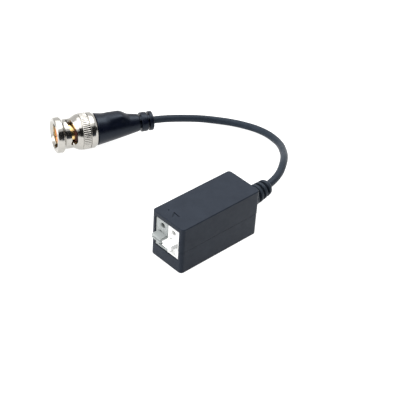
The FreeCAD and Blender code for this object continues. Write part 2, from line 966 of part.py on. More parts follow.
def nut_outside():
    """Turned outside of the nut: rolled flange, waist, flare, bands and a tapered rear edge."""
    root = nut_groove_radius
    crest = nut_crest_radius
    flange = nut_flange_radius
    waist = nut_waist_radius
    backing = root - knurl_backing
    knurl_end = knurl_start + knurl_length
    return turned(
        [
            (0, 0),
            (0, flange - nut_roll),
            (nut_roll, flange),
            (nut_flange_end, flange),
            (nut_flange_end + nut_roll, flange - nut_roll),
            (nut_waist_start, waist),
            (nut_waist_end, waist),
            (nut_flare_end, crest),
            (nut_band_end, crest),
            (nut_band_end, root),
            (knurl_start, root),
            (knurl_start, backing),
            (knurl_end, backing),
            (knurl_end, root),
            (rear_groove_end, root),
            (rear_groove_end, crest),
            (nut_shoulder, crest),
            (nut_length, nut_rear_radius),
            (nut_length, 0),
        ]
    )


def nut_inside():
    """The bore, the chamber for the washers and the groove for the retaining ring."""
    groove = nut_chamber_radius + ring_groove_depth + ring_seat_clearance
    groove_start = ring_start - ring_seat_clearance
    groove_end = ring_start + ring_thickness + ring_seat_clearance
    return turned(
        [
            (-overshoot, 0),
            (-overshoot, nut_mouth_radius),
            (0, nut_mouth_radius),
            (nut_mouth_depth, nut_bore),
            (nut_chamber_start, nut_bore),
            (nut_chamber_start, nut_chamber_radius),
            (groove_start, nut_chamber_radius),
            (groove_start, groove),
            (groove_end, groove),
            (groove_end, nut_chamber_radius),
            (nut_length + overshoot, nut_chamber_radius),
            (nut_length + overshoot, 0),
        ]
    )


def knurl_ring():
    """Straight knurl: a star-shaped ring with one point for each tooth."""
    count = 2 * knurl_teeth
    points = []
    for index in range(count):
        radius = nut_crest_radius - (knurl_depth if index % 2 else 0.0)
        angle = 2 * math.pi * index / count
        points.append(Vector(knurl_start, radius * math.cos(angle), radius * math.sin(angle)))
    star = Part.Face(Part.makePolygon(points + points[:1]))
    ring = star.extrude(Vector(knurl_length, 0, 0))
    inner = nut_chamber_radius + knurl_ring_gap
    start = Vector(knurl_start - overshoot, 0, 0)
    return ring.cut(rod(inner, start, Vector(knurl_start + knurl_length + overshoot, 0, 0)))


def bayonet_slot(start_angle):
    """Cutter for one helical slot that opens from a keyway and ends in a detent."""
    half = keyway_width / 2
    inner = nut_bore - slot_cutter_depth
    outer = nut_crest_radius + slot_cutter_margin
    sections = []
    for step in range(slot_steps + 1):
        share = step / slot_steps
        station = slot_start + (slot_end - slot_start) * min(share / slot_ramp_share, 1)
        angle = math.radians(start_angle + slot_sweep * share)
        corners = []
        for s, r in ((-half, inner), (-half, outer), (half, outer), (half, inner)):
            corners.append(Vector(station + s, r * math.cos(angle), r * math.sin(angle)))
        sections.append(Part.makePolygon(corners + corners[:1]))
    ramp = Part.makeLoft(sections, True, True)
    ends = []
    for station, angle in ((slot_start, start_angle), (slot_end - slot_detent, start_angle + slot_sweep)):
        turn = math.radians(angle)
        ray = Vector(0, math.cos(turn), math.sin(turn))
        base = Vector(station, 0, 0)
        ends.append(rod(half + slot_end_relief, base.add(ray * inner), base.add(ray * outer)))
    return [ramp] + ends


def coupling_nut():
    """Bayonet nut with two helical slots, a keyway to each and a knurled grip."""
    nut = united([nut_outside(), knurl_ring()])
    nut = nut.cut(nut_inside())
    cutters = []
    for half_turn in (0, 180):
        angle = keyway_angle + half_turn
        keyway = block(-overshoot, slot_start, 0, keyway_radius, -keyway_width / 2, keyway_width / 2)
        keyway.rotate(centre, x_axis, angle)
        cutters.append(keyway)
        cutters += bayonet_slot(angle)
    for cutter in cutters:
        nut = nut.cut(cutter)
    return nut


def gasket_ring():
    """Soft ring in front of the body's flange."""
    inner = gasket_seat_radius + gasket_clearance
    outer = nut_bore - gasket_clearance
    return tube(gasket_start, gasket_start + gasket_length, outer, inner)


def plug_body():
    """Slotted outer contact, flange, neck and the stub that the screen is crimped on."""
    body = turned(
        [
            (contact_start, contact_bore),
            (contact_start, contact_radius - contact_edge),
            (contact_start + contact_edge, contact_radius),
            (gasket_start - face_gap, contact_radius),
            (gasket_start - face_gap, gasket_seat_radius),
            (flange_start, gasket_seat_radius),
            (flange_start, body_flange_radius),
            (flange_end, body_flange_radius),
            (flange_end, body_neck_radius),
            (body_end, body_neck_radius),
            (body_end, stub_radius),
            (stub_end, stub_radius),
            (stub_end, dielectric_radius + insulator_clearance),
            (body_end - body_back_wall, dielectric_radius + insulator_clearance),
            (body_end - body_back_wall, contact_bore),
        ]
    )
    slits = []
    half = contact_slit_width / 2
    for index in range(contact_slits):
        slit_end = contact_start + contact_slit_length
        slit = block(contact_start - overshoot, slit_end, 0, contact_radius + overshoot, -half, half)
        slit.rotate(centre, x_axis, contact_slit_angle + 360 * index / contact_slits)
        slits.append(slit)
    return body.cut(slits)


def insulator_end():
    return body_end - body_back_wall - face_gap


def insulator():
    """Plug of dielectric round the centre pin."""
    outer = contact_bore - insulator_clearance
    end = insulator_end()
    bore = pin_radius + insulator_clearance
    collar = pin_collar_radius + insulator_clearance
    collar_start = end - pin_collar_length
    return turned(
        [
            (insulator_start, bore),
            (insulator_start, outer),
            (end, outer),
            (end, collar),
            (collar_start - face_gap, collar),
            (collar_start - face_gap, bore),
        ]
    )


def centre_pin():
    """Pin with a rounded tip and a crimp collar at its rear."""
    end = insulator_end()
    collar_start = end - pin_collar_length
    return turned(
        [
            (pin_start, 0),
            (pin_start, pin_radius / 2),
            (pin_start + pin_tip, pin_radius),
            (collar_start, pin_radius),
            (collar_start, pin_collar_radius),
            (end, pin_collar_radius),
            (end, 0),
        ]
    )


def plug_dielectric():
    """Dielectric of the lead, through the stub to the centre pin."""
    return rod(dielectric_radius, Vector(insulator_end() + face_gap, 0, 0), Vector(jacket_start, 0, 0))


def cord_plug_end():
    """Jacket of the lead inside the ferrule and the boot."""
    return rod(cord_radius, Vector(jacket_start, 0, 0), Vector(boot_end, 0, 0))


def crimp_ferrule():
    """Sleeve crimped over the stub and the jacket's end."""
    return tube(ferrule_start, ferrule_end, ferrule_radius, ferrule_bore)


def thrust_washer():
    """Flat washer that the nut's ring bears on."""
    inner = body_neck_radius + washer_clearance
    outer = nut_chamber_radius - washer_clearance
    return tube(thrust_washer_start, thrust_washer_start + thrust_washer_thickness, outer, inner)


def retaining_ring():
    """Open ring in the groove of the nut."""
    inner = body_neck_radius + ring_bore_gap
    outer = nut_chamber_radius + ring_groove_depth
    return sector(ring_start, ring_start + ring_thickness, inner, outer, 0, 360 - ring_opening)


def spring_washer():
    """Wave washer between the body's flange and the thrust washer."""
    inner = spring_washer_inner
    outer = nut_chamber_radius - 2 * washer_clearance
    rise = spring_washer_length - spring_washer_strip
    start = flange_end + face_gap
    sections = []
    for step in range(spring_washer_steps):
        angle = 2 * math.pi * step / spring_washer_steps
        low = start + rise * (1 - math.cos(spring_washer_waves * angle)) / 2
        high = low + spring_washer_strip
        corners = []
        for s, r in ((low, inner), (low, outer), (high, outer), (high, inner)):
            corners.append(Vector(s, r * math.cos(angle), r * math.sin(angle)))
        sections.append(Part.makePolygon(corners + corners[:1]))
    return Part.makeLoft(sections, True, True, True)


def boot_outside():
    """Turned outside of the boot: front edge, long taper, two ribs and a short end."""
    points = [
        (boot_start, 0),
        (boot_start, boot_front_radius - boot_front_edge),
        (boot_start + boot_front_edge, boot_front_radius),
    ]
    for share in boot_taper_shares:
        station = boot_start + boot_taper_length * share
        straight = boot_front_radius + (boot_tail_radius - boot_front_radius) * share
        points.append((station, straight + boot_taper_crown * math.sin(math.pi * share)))
    points.append((rib_stations[0][0] - rib_groove_width, rib_groove_radius))
    for start, end in rib_stations:
        points += [
            (start, rib_groove_radius),
            (start, rib_radius),
            (end - rib_edge, rib_radius),
            (end, rib_radius - rib_edge),
            (end, rib_groove_radius),
        ]
    points += [(boot_end, rib_groove_radius), (boot_end, 0)]
    return turned(points)


def grip_pad():
    """Raised flat pad on top of the boot."""
    side = [
        (pad_start, 0),
        (pad_start, pad_foot + pad_edge),
        (pad_start + pad_rise, pad_height),
        (pad_end - pad_fall, pad_height),
        (pad_end, pad_foot),
        (pad_end, 0),
    ]
    face = Part.Face(flat_outline(side, "xz"))
    pad = face.extrude(Vector(0, pad_width, 0))
    pad.translate(Vector(0, -pad_width / 2, 0))
    upright = [e for e in pad.Edges if e.BoundBox.YLength < tiny and e.BoundBox.ZMin > pad_height - tiny]
    return pad.makeChamfer(pad_edge, upright)


def rib_bridges():
    """Webs across the grooves between the ribs."""
    bridges = []
    start = rib_stations[0][0] - rib_groove_width
    end = rib_stations[-1][0] + rib_edge
    half = rib_bridge_width / 2
    for angle in (rib_bridge_angle, rib_bridge_angle + 180):
        web = block(start, end, 0, rib_radius - rib_bridge_inset, -half, half)
        web.rotate(centre, x_axis, angle)
        bridges.append(web)
    return bridges


def plug_boot():
    """Moulded boot over the rear of the plug."""
    boot = united([boot_outside(), grip_pad()] + rib_bridges())
    space = boot_cavity_clearance
    cavity = turned(
        [
            (boot_start - overshoot, 0),
            (boot_start - overshoot, body_neck_radius + space),
            (body_end + space, body_neck_radius + space),
            (body_end + space, ferrule_radius + space),
            (ferrule_end + space, ferrule_radius + space),
            (ferrule_end + space, cord_radius + cord_clearance),
            (boot_end + overshoot, cord_radius + cord_clearance),
            (boot_end + overshoot, 0),
        ]
    )
    return boot.cut(cavity)


def main():
    os.makedirs("parts", exist_ok=True)
    save("lower_shell", lower_shell())
    save("upper_shell", upper_shell())
    for side, pole_y in poles:
        save("terminal_module_" + side, terminal_module(pole_y))
        save("release_tab_" + side, release_tab(pole_y))
        save("contact_bar_" + side, contact_bar(pole_y))
        save("clamp_spring_" + side, clamp_spring(pole_y))
    save("circuit_board", circuit_board())
    save("choke_core", choke_core())
    save("choke_winding_line", choke_winding(180))
    save("choke_winding_coax", choke_winding(0))
    save("surge_diode", surge_diode())
    save("chip_capacitors", chip_capacitors())
    save("cable_gland", cable_gland())
    save("cord_gland_end", along_gland(cord_radius, jacket_end_x))
    save("coax_centre_lead", coax_centre_lead())
    save("coax_braid_lead", coax_braid_lead())
    save("cord", cord())
    plug_pieces = {
        "coupling_nut": coupling_nut(),
        "gasket_ring": gasket_ring(),
        "plug_body": plug_body(),
        "insulator": insulator(),
        "centre_pin": centre_pin(),
        "plug_dielectric": plug_dielectric(),
        "cord_plug_end": cord_plug_end(),
        "crimp_ferrule": crimp_ferrule(),
        "thrust_washer": thrust_washer(),
        "retaining_ring": retaining_ring(),
        "spring_washer": spring_washer(),
        "plug_boot": plug_boot(),
    }
    for name, shape in plug_pieces.items():
        shape.Placement = plug_place.multiply(shape.Placement)
        save(name, shape)


main()
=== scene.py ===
import json
import math

import bmesh
import bpy
from mathutils import Matrix, Vector


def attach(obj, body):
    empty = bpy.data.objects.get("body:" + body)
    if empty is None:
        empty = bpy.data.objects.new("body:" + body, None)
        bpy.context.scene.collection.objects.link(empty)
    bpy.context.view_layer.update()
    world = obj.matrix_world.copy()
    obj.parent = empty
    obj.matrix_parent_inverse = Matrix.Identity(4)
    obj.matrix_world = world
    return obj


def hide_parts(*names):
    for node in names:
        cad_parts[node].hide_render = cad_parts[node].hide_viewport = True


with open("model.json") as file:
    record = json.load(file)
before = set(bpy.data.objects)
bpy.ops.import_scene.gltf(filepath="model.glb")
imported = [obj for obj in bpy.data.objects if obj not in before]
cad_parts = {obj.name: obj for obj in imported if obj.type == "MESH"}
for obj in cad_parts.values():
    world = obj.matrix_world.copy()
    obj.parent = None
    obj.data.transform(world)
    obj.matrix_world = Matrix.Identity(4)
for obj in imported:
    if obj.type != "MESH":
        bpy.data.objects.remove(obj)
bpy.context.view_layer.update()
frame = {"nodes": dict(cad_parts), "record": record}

# Lengths in this script are millimetres in the row frame, and MM turns them into metres.
# A profile is a list of (station, radius, fillet) corners, in order round the section.
MM = 0.001
MERGE_DISTANCE = 1e-5
CAD_MERGE_METRES = 1e-7
CAD_FLAT_DEGREES = 0.5

# Camera, as solved from the photograph
PICTURE_SIDE = 400
FOCAL_PIXELS = 1225.46
SENSOR_WIDTH = 36.0
CAMERA_PLACE = (-246.77, -243.535, 281.74)
CAMERA_RIGHT = (0.7342, -0.6769, 0.0527)
CAMERA_UP = (0.3790, 0.4730, 0.7953)
CAMERA_FORWARD = (0.5633, 0.5640, -0.6038)
CAMERA_CLIP = (10.0, 5000.0)

# The floor is a light table, so the object stands on white without a shadow
FLOOR_GLOW = 0.97
FLOOR_HALF = 2000.0
FLOOR_LEVEL = -0.05
FLOOR_TONES = ((0.28, 0.28, 0.28), (0.30, 0.30, 0.30))

# Soft boxes: name, place, the point that it faces, width, height and watts
SOFT_BOXES = (
    ("top_box", (0, 180, 600), (10, 100, 0), 820, 740, 3.5),
    ("left_box", (-480, 220, 330), (0, 30, 10), 400, 520, 1.6),
    ("right_box", (360, 40, 560), (0, 0, 20), 420, 420, 1.6),
)
SURROUND = 1.0

# Dark wall round the camera's side: its plan, and its rows as (height, share of the plan)
FLAG_PLAN = (
    (-470, -40), (-450, -250), (-330, -420), (-120, -480),
    (100, -480), (300, -440), (440, -300), (500, -170),
)
FLAG_ROWS = ((5, 1.0), (300, 1.0), (470, 0.85), (540, 0.7))
FLAG_TONES = ((0.002, 0.002, 0.003), (0.004, 0.004, 0.005))

# Tints of what a surface mirrors
NEUTRAL = (1.0, 1.0, 1.0, 1.0)
BLUISH = (0.70, 0.83, 1.0, 1.0)

# Plastics: two tones, roughness, relief of the grain, gloss and tint of the sheen
MOULDED = {
    "case_plastic": ((0.0145, 0.0185, 0.0275), (0.0185, 0.0235, 0.034), 0.42, 0.35, 0.15, BLUISH),
    "grey_module": ((0.33, 0.355, 0.352), (0.375, 0.40, 0.397), 0.45, 0.2, 0.5, NEUTRAL),
    "white_module": ((0.92, 0.925, 0.91), (0.97, 0.975, 0.96), 0.42, 0.2, 0.5, NEUTRAL),
    "component_black": ((0.012, 0.012, 0.013), (0.02, 0.02, 0.022), 0.5, 0.4, 0.5, NEUTRAL),
    "component_tan": ((0.30, 0.19, 0.10), (0.36, 0.24, 0.13), 0.4, 0.1, 0.5, NEUTRAL),
    "ferrite": ((0.02, 0.018, 0.018), (0.035, 0.03, 0.03), 0.6, 0.8, 0.5, NEUTRAL),
    "dielectric": ((0.75, 0.73, 0.68), (0.82, 0.80, 0.76), 0.5, 0.3, 0.5, NEUTRAL),
}

# Rubbers: two tones, roughness, gloss and tint of the sheen
RUBBERS = {
    "cord_jacket": ((0.016, 0.022, 0.031), (0.022, 0.029, 0.040), 0.48, 0.15, BLUISH),
    "boot_rubber": ((0.001, 0.002, 0.006), (0.002, 0.003, 0.009), 0.34, 0.3, BLUISH),
    # The gasket's tones are its dark red rubber made darker still: painted shade for the inside of
    # the nut, seen through its slots
    "gasket": ((0.06, 0.012, 0.008), (0.09, 0.02, 0.012), 0.5, 0.5, NEUTRAL),
}

# Metals: two tones, roughness and relief of the turning marks
METALS = {
    "nickel": ((0.43, 0.415, 0.385), (0.48, 0.465, 0.43), 0.15, 0.012),
    "gold": ((0.80, 0.52, 0.20), (0.88, 0.62, 0.28), 0.2, 0.08),
    "spring_steel": ((0.45, 0.45, 0.45), (0.55, 0.55, 0.55), 0.25, 0.2),
    "tinned_bar": ((0.58, 0.58, 0.56), (0.68, 0.68, 0.66), 0.3, 0.3),
    "bare_wire": ((0.50, 0.38, 0.26), (0.62, 0.50, 0.38), 0.35, 0.5),
    "enamelled_wire": ((0.40, 0.12, 0.04), (0.48, 0.17, 0.06), 0.25, 0.2),
}
AMBER_TONES = ((0.62, 0.19, 0.03), (0.74, 0.27, 0.05))
BOARD_TONES = ((0.01, 0.09, 0.035), (0.015, 0.13, 0.05))

# Pieces that are their node with rounded edges: piece, node, look, body, edge width and segments
MOULDINGS = (
    ("case_base", "lower_shell", "case_plastic", "case", 0.18, 2),
    ("case_cover", "upper_shell", "case_plastic", "case", 0.18, 3),
    ("pole_left", "terminal_module_left", "grey_module", "case", 0.06, 2),
    ("tab_left", "release_tab_left", "grey_module", "left_tab", 0.08, 2),
    ("pole_right", "terminal_module_right", "white_module", "case", 0.06, 2),
    ("tab_right", "release_tab_right", "white_module", "right_tab", 0.08, 2),
    ("inner_contact", "plug_body", "gold", "case", 0.05, 2),
)

# Gland: its axis leaves the case level and bends twice towards +Y
GLAND_START = (18.75, 0.0, 10.1)
GLAND_LENGTH = 13.35
GLAND_BENDS = (5.6, 10.4)
GLAND_BEND = 4.5
GLAND_WALL_GAP = 0.05
GLAND_ROOT_RADIUS = 4.25
GLAND_END_RADIUS = 3.1
GLAND_END_BEVEL = 1.0
GLAND_END_FACE = 2.4
GLAND_END_FILLETS = (0.6, 0.15)
GLAND_CORE_RADIUS = 2.35
GLAND_BORE = 1.53
# Corners (station, radius) of the flange and the neck that the shells hold
GLAND_SEAT = (
    (-3.15, GLAND_BORE), (-3.15, 5.0), (-1.55, 5.0),
    (-1.55, 3.6), (0.1, 3.6), (0.1, GLAND_BORE),
)
RING_FIRST = 5.15
RING_PITCH = 2.4
RING_GAP = 1.0
RING_FILLET = 0.2
RING_OVERLAP = 0.2
RING_WEB_ANGLES = (90.0, 45.0, 20.0)
RING_WEB_SWEEP = 40.0
RING_WEB_FOOT = 1.7
RING_WEB_INSET = 0.3
RING_WEB_FILLET = 0.1

# Plug: its mouth and the turn of its axis from mouth to boot. Stations are counted from the mouth.
PLUG_MOUTH = (-7.45, 79.725, 7.35)
PLUG_TURN = -22.5

# Coupling nut: flange, waist, flare, band, seat of the knurl, rear band, then the chamber and bore
NUT_CREST = 7.35
NUT_PROFILE = (
    (0.0, 6.0, 0.1), (0.0, 6.75, 0.25), (0.45, 7.2, 0.35), (2.6, 7.2, 0.55),
    (3.6, 6.0, 0.5), (7.1, 6.0, 0.8),
    (9.0, 7.05, 0.6), (10.2, NUT_CREST, 0.15),
    (10.32, 7.05, 0.05), (13.58, 7.05, 0.05),
    (13.7, NUT_CREST, 0.15), (15.3, 7.3, 0.5), (16.35, 6.65, 0.2), (16.4, 6.2, 0.15),
    (16.4, 5.75, 0.1), (8.2, 5.75, 0), (8.2, 4.95, 0.05), (1.0, 4.95, 0.2),
)
NUT_EDGE = 0.09
KNURL_START = 10.5
KNURL_END = 13.4
KNURL_LEAD = 0.12
KNURL_CHAMFER = 0.2
KNURL_CHAMFER_RISE = 0.55
KNURL_TEETH = 54
KNURL_DEPTH = 0.13
KNURL_FOOT = 0.1
KNURL_TOOTH = ((0.0, 0.0), (0.16, 0.9), (0.24, 1.0), (0.76, 1.0), (0.84, 0.9))

# The nut's two helical slots, and the keyways by which a socket's studs enter them. A slot is laid
# out flat, and its lengths round the nut are measured at SLOT_MEAN_RADIUS.
SLOT_WIDTH = 2.2
SLOT_START = 5.7
SLOT_END = 7.0
SLOT_SWEEP = 100.0
SLOT_RAMP_SHARE = 0.6
SLOT_DETENT_SHARE = 0.9
SLOT_DETENT = 0.45
SLOT_MEAN_RADIUS = 6.15
SLOT_RADII = (4.4, 8.0)
SLOT_STEPS = 30
SLOT_CAP_ANGLES = (0.5, 0.9, 1.2, 1.4, 1.52)
KEYWAY_ANGLES = (90.0, 270.0)
KEYWAY_RADIUS = 5.55

# Boot: taper with a pad, then two ribs joined by webs
BOOT_START = 16.7
BOOT_END = 41.0
BOOT_BORE = 1.53
BOOT_MOUTH_RADIUS = 4.33
BOOT_FRONT_RADIUS = 6.55
BOOT_FRONT_FILLET = 0.35
BOOT_TAIL_RADIUS = 3.5
TAPER_END = 34.8
TAPER_STEPS = 48
TAPER_CROWN = 0.1
BOOT_TAIL_PROFILE = (
    (TAPER_END, BOOT_TAIL_RADIUS, 0.25), (TAPER_END + 0.2, 2.6, 0.1),
    (35.6, 2.55, 0.1), (35.6, 3.95, 0.3), (38.2, 3.95, 0.35), (38.2, 2.55, 0.1),
    (39.0, 2.55, 0.1), (39.0, 3.95, 0.3), (40.6, 3.95, 0.35), (40.6, 2.55, 0.1),
    (BOOT_END, 2.55, 0.1), (BOOT_END, BOOT_BORE, 0),
)
BOOT_CAVITY_PROFILE = (
    (26.9, BOOT_BORE, 0), (26.9, 1.97, 0), (18.65, 1.97, 0), (18.65, BOOT_MOUTH_RADIUS, 0),
)
RIB_WEB_ANGLES = (120, 300)
RIB_WEB_LOW = (34.8, 2.0, -0.8)
RIB_WEB_HIGH = (39.4, 3.7, 0.8)
RIB_WEB_EDGE = 0.15
PAD_STATIONS = (19.6, 22.8, 26.4, 31.0)
PAD_HEIGHT = 6.2
PAD_HALF_ANGLE = 52.0
PAD_SIDE_ANGLE = 34.0
PAD_LEAST_RADIUS = 3.0

# Dished dielectric and the pin inside the slotted contact
INSULATOR_PROFILE = (
    (1.6, 0.705, 0.1), (1.85, 1.4, 0.3), (1.6, 2.3, 0.3), (1.55, 3.18, 0.2),
    (16.17, 3.18, 0), (16.17, 0.92, 0), (14.54, 0.92, 0), (14.54, 0.705, 0),
)
PIN_PROFILE = (
    (1.25, 0.0, 0), (1.25, 0.685, 0.45), (14.57, 0.685, 0),
    (14.57, 0.9, 0.05), (16.17, 0.9, 0.05), (16.17, 0.0, 0),
)

# Cord, from the gland's end to the boot's end
CORD_DIAMETER = 3.0
CORD_ROUTE = [
    (32.049, 0.838, 10.1),
    (39.358, 1.996, 10.1),
    (48.9, 8.0, 10.2),
    (57.4, 15.9, 6.2),
    (64.4, 25.0, 3.1),
    (66.8, 36.5, 1.6),
    (62.5, 47.0, 1.5),
    (56.6, 54.6, 1.6),
    (48.9, 58.3, 3.7),
    (34.679, 62.275, 7.35),
    (30.429, 64.035, 7.35),
]

# The part of a noise's range that a spread uses
NOISE_SPAN = (0.3, 0.7)

# A colour Mix node keeps its two colours in these input sockets, and its result in this output
MIX_COLOURS = (6, 7)
MIX_RESULT = 2


class Shader:
    """A node material built up step by step, in millimetres of the row frame."""

    def __init__(self, name):
        self.material = bpy.data.materials.new(name)
        self.material.use_nodes = True
        self.tree = self.material.node_tree
        self.surface = self.tree.nodes["Principled BSDF"]
        self.place = None

    def add(self, kind, **inputs):
        """A new node with constants on its sockets."""
        node = self.tree.nodes.new(kind)
        for key, value in inputs.items():
            node.inputs[key].default_value = value
        return node

    def link(self, source, target):
        """Joins two sockets."""
        self.tree.links.new(source, target)

    def position(self):
        """The point on the piece, in millimetres."""
        if self.place is None:
            coordinates = self.add("ShaderNodeTexCoord")
            scale = self.add("ShaderNodeVectorMath")
            scale.operation = "SCALE"
            scale.inputs["Scale"].default_value = 1 / MM
            self.link(coordinates.outputs["Object"], scale.inputs[0])
            self.place = scale.outputs["Vector"]
        return self.place

    def noise(self, size, detail=3.0, roughness=0.55):
        """Noise whose blotches are about that many millimetres across."""
        node = self.add("ShaderNodeTexNoise", Scale=1 / size, Detail=detail, Roughness=roughness)
        self.link(self.position(), node.inputs["Vector"])
        return node.outputs["Fac"]

    def spread(self, value, low, high):
        """Maps the middle part of a noise onto a range."""
        node = self.add("ShaderNodeMapRange")
        ends = NOISE_SPAN + (low, high)
        for key, number in zip(("From Min", "From Max", "To Min", "To Max"), ends):
            node.inputs[key].default_value = number
        self.link(value, node.inputs["Value"])
        return node.outputs["Result"]

    def mix(self, factor, first, second):
        """A colour between two, by a factor."""
        node = self.tree.nodes.new("ShaderNodeMix")
        node.data_type = "RGBA"
        self.link(factor, node.inputs["Factor"])
        for socket, colour in zip(MIX_COLOURS, (first, second)):
            node.inputs[socket].default_value = colour + (1.0,)
        return node.outputs[MIX_RESULT]

    def bump(self, height, strength, depth):
        """Relief of that depth in millimetres, added to any relief there is."""
        node = self.add("ShaderNodeBump", Strength=strength, Distance=depth * MM)
        self.link(height, node.inputs["Height"])
        normal = self.surface.inputs["Normal"]
        if normal.is_linked:
            self.link(normal.links[0].from_socket, node.inputs["Normal"])
        self.link(node.outputs["Normal"], normal)

    def set(self, **values):
        """Constants on the surface's sockets, an underscore standing for a space."""
        for key, value in values.items():
            self.surface.inputs[key.replace("_", " ")].default_value = value


def mottled(shader, dark, light, size):
    """A colour that wanders between two over that many millimetres."""
    factor = shader.spread(shader.noise(size), 0.0, 1.0)
    shader.link(shader.mix(factor, dark, light), shader.surface.inputs["Base Color"])


def rough(shader, low, high, size):
    """Roughness that wanders between two values over that many millimetres."""
    shader.link(shader.spread(shader.noise(size), low, high), shader.surface.inputs["Roughness"])


def moulded(name, dark, light, roughness, grain, gloss, sheen):
    """Moulded plastic: a fine eroded grain, slight flow marks and uneven gloss."""
    shader = Shader(name)
    mottled(shader, dark, light, size=5.0)
    rough(shader, roughness - 0.06, roughness + 0.06, size=1.5)
    shader.bump(shader.noise(0.16, detail=2.0), strength=grain, depth=0.02)
    shader.bump(shader.noise(6.0, detail=1.0), strength=0.15, depth=0.05)
    shader.set(IOR=1.48, Specular_IOR_Level=gloss, Specular_Tint=sheen)
    return shader.material


def rubber(name, dark, light, roughness, gloss, sheen):
    """Soft jacket compound: dull, with a faint mottle and tiny pits."""
    shader = Shader(name)
    mottled(shader, dark, light, size=3.0)
    rough(shader, roughness - 0.07, roughness + 0.07, size=2.0)
    shader.bump(shader.noise(0.3, detail=3.0), strength=0.1, depth=0.02)
    shader.set(IOR=1.5, Specular_IOR_Level=gloss, Specular_Tint=sheen)
    return shader.material


def plated(name, dark, light, roughness, brushing):
    """Plated metal with faint turning marks and hazy patches."""
    shader = Shader(name)
    mottled(shader, dark, light, size=2.5)
    rough(shader, roughness * 0.7, roughness * 1.5, size=1.2)
    shader.bump(shader.noise(0.12, detail=2.0), strength=brushing, depth=0.01)
    shader.set(Metallic=1.0)
    return shader.material


def amber_material():
    """Translucent moulded dielectric."""
    shader = Shader("amber_insulator")
    mottled(shader, *AMBER_TONES, size=1.2)
    rough(shader, 0.25, 0.4, size=1.0)
    shader.set(Subsurface_Weight=0.35, Subsurface_Scale=0.6 * MM, IOR=1.5, Coat_Weight=0.2)
    shader.set(Subsurface_Radius=(1.0, 0.45, 0.15))
    return shader.material


def board_material():
    """Solder mask over a fine woven laminate."""
    shader = Shader("solder_mask")
    mottled(shader, *BOARD_TONES, size=2.0)
    weave = shader.add("ShaderNodeTexChecker", Scale=2.5)
    shader.link(shader.position(), weave.inputs["Vector"])
    shader.bump(weave.outputs["Fac"], strength=0.2, depth=0.01)
    shader.set(Roughness=0.35, Coat_Weight=0.4)
    return shader.material


LOOKS = {name: moulded(name, *look) for name, look in MOULDED.items()}
LOOKS |= {name: rubber(name, *look) for name, look in RUBBERS.items()}
LOOKS |= {name: plated(name, *look) for name, look in METALS.items()}
LOOKS |= {"amber_insulator": amber_material(), "board": board_material()}


def dress(thing, slot):
    """Gives a piece one material."""
    thing.data.materials.clear()
    thing.data.materials.append(LOOKS[slot])


def dress_frame():
    """Puts its own finish on every node of the frame."""
    slots = {part["node"]: part["material_slot"] for part in frame["record"]["subparts"]}
    for name, node in frame["nodes"].items():
        dress(node, slots[name])


def make_camera():
    """The photograph's camera, without depth of field."""
    data = bpy.data.cameras.new("camera")
    data.sensor_width = SENSOR_WIDTH
    data.lens = FOCAL_PIXELS / PICTURE_SIDE * SENSOR_WIDTH
    data.clip_start, data.clip_end = (distance * MM for distance in CAMERA_CLIP)
    data.dof.use_dof = False
    camera = bpy.data.objects.new("camera", data)
    axes = Matrix((CAMERA_RIGHT, CAMERA_UP, [-value for value in CAMERA_FORWARD])).transposed()
    camera.matrix_world = Matrix.Translation(Vector(CAMERA_PLACE) * MM) @ axes.to_4x4()
    bpy.context.scene.collection.objects.link(camera)
    bpy.context.scene.camera = camera


def stage_piece(name, corners, faces, material):
    """Adds a mesh of the studio, which isn't part of the object."""
    mesh = bpy.data.meshes.new(name)
    mesh.from_pydata([Vector(corner) * MM for corner in corners], [], faces)
    mesh.materials.append(material)
    piece = bpy.data.objects.new(name, mesh)
    bpy.context.scene.collection.objects.link(piece)
    return piece


def make_floor():
    """A pale table that runs out of the picture."""
    signs = ((-1, -1), (1, -1), (1, 1), (-1, 1))
    corners = [(x * FLOOR_HALF, y * FLOOR_HALF, FLOOR_LEVEL) for x, y in signs]
    shader = Shader("table_paper")
    mottled(shader, *FLOOR_TONES, size=40.0)
    rough(shader, 0.7, 0.9, size=10.0)
    shader.bump(shader.noise(0.8), strength=0.05, depth=0.05)
    shader.set(Emission_Strength=FLOOR_GLOW, Emission_Color=NEUTRAL, Specular_IOR_Level=0.0)
    stage_piece("table", corners, [(0, 1, 2, 3)], shader.material)


def make_flag():
    """A dark wall that the bright metal mirrors, and that the camera doesn't see."""
    corners = [(x * share, y * share, z) for z, share in FLAG_ROWS for x, y in FLAG_PLAN]
    width = len(FLAG_PLAN)
    faces = []
    for row in range(len(FLAG_ROWS) - 1):
        for column in range(width - 1):
            corner = row * width + column
            faces.append((corner, corner + 1, corner + 1 + width, corner + width))
    shader = Shader("black_felt")
    mottled(shader, *FLAG_TONES, size=20.0)
    shader.set(Roughness=1.0)
    flag = stage_piece("flag", corners, faces, shader.material)
    flag.visible_camera = False


def area_light(name, place, aim, width, height, power):
    """A soft box at a place, facing a point."""
    data = bpy.data.lights.new(name, "AREA")
    data.shape = "RECTANGLE"
    data.size = width * MM
    data.size_y = height * MM
    data.energy = power
    light = bpy.data.objects.new(name, data)
    light.location = Vector(place) * MM
    towards = (Vector(aim) - Vector(place)).normalized()
    light.rotation_mode = "QUATERNION"
    light.rotation_quaternion = towards.to_track_quat("-Z", "Y")
    bpy.context.scene.collection.objects.link(light)


def make_studio():
    """Soft boxes over and beside the object, and a bright surround."""
    world = bpy.data.worlds.new("studio")
    world.use_nodes = True
    surround = world.node_tree.nodes["Background"]
    surround.inputs["Color"].default_value = NEUTRAL
    surround.inputs["Strength"].default_value = SURROUND
    bpy.context.scene.world = world
    for box in SOFT_BOXES:
        area_light(*box)
    bpy.context.scene.view_settings.view_transform = "Standard"


def along_x(place, turn):
    """Placement of a piece whose own axis is X, at a point and turned about Z."""
    return Matrix.Translation(Vector(place)) @ Matrix.Rotation(math.radians(turn), 4, "Z")


PLUG = along_x(PLUG_MOUTH, PLUG_TURN)


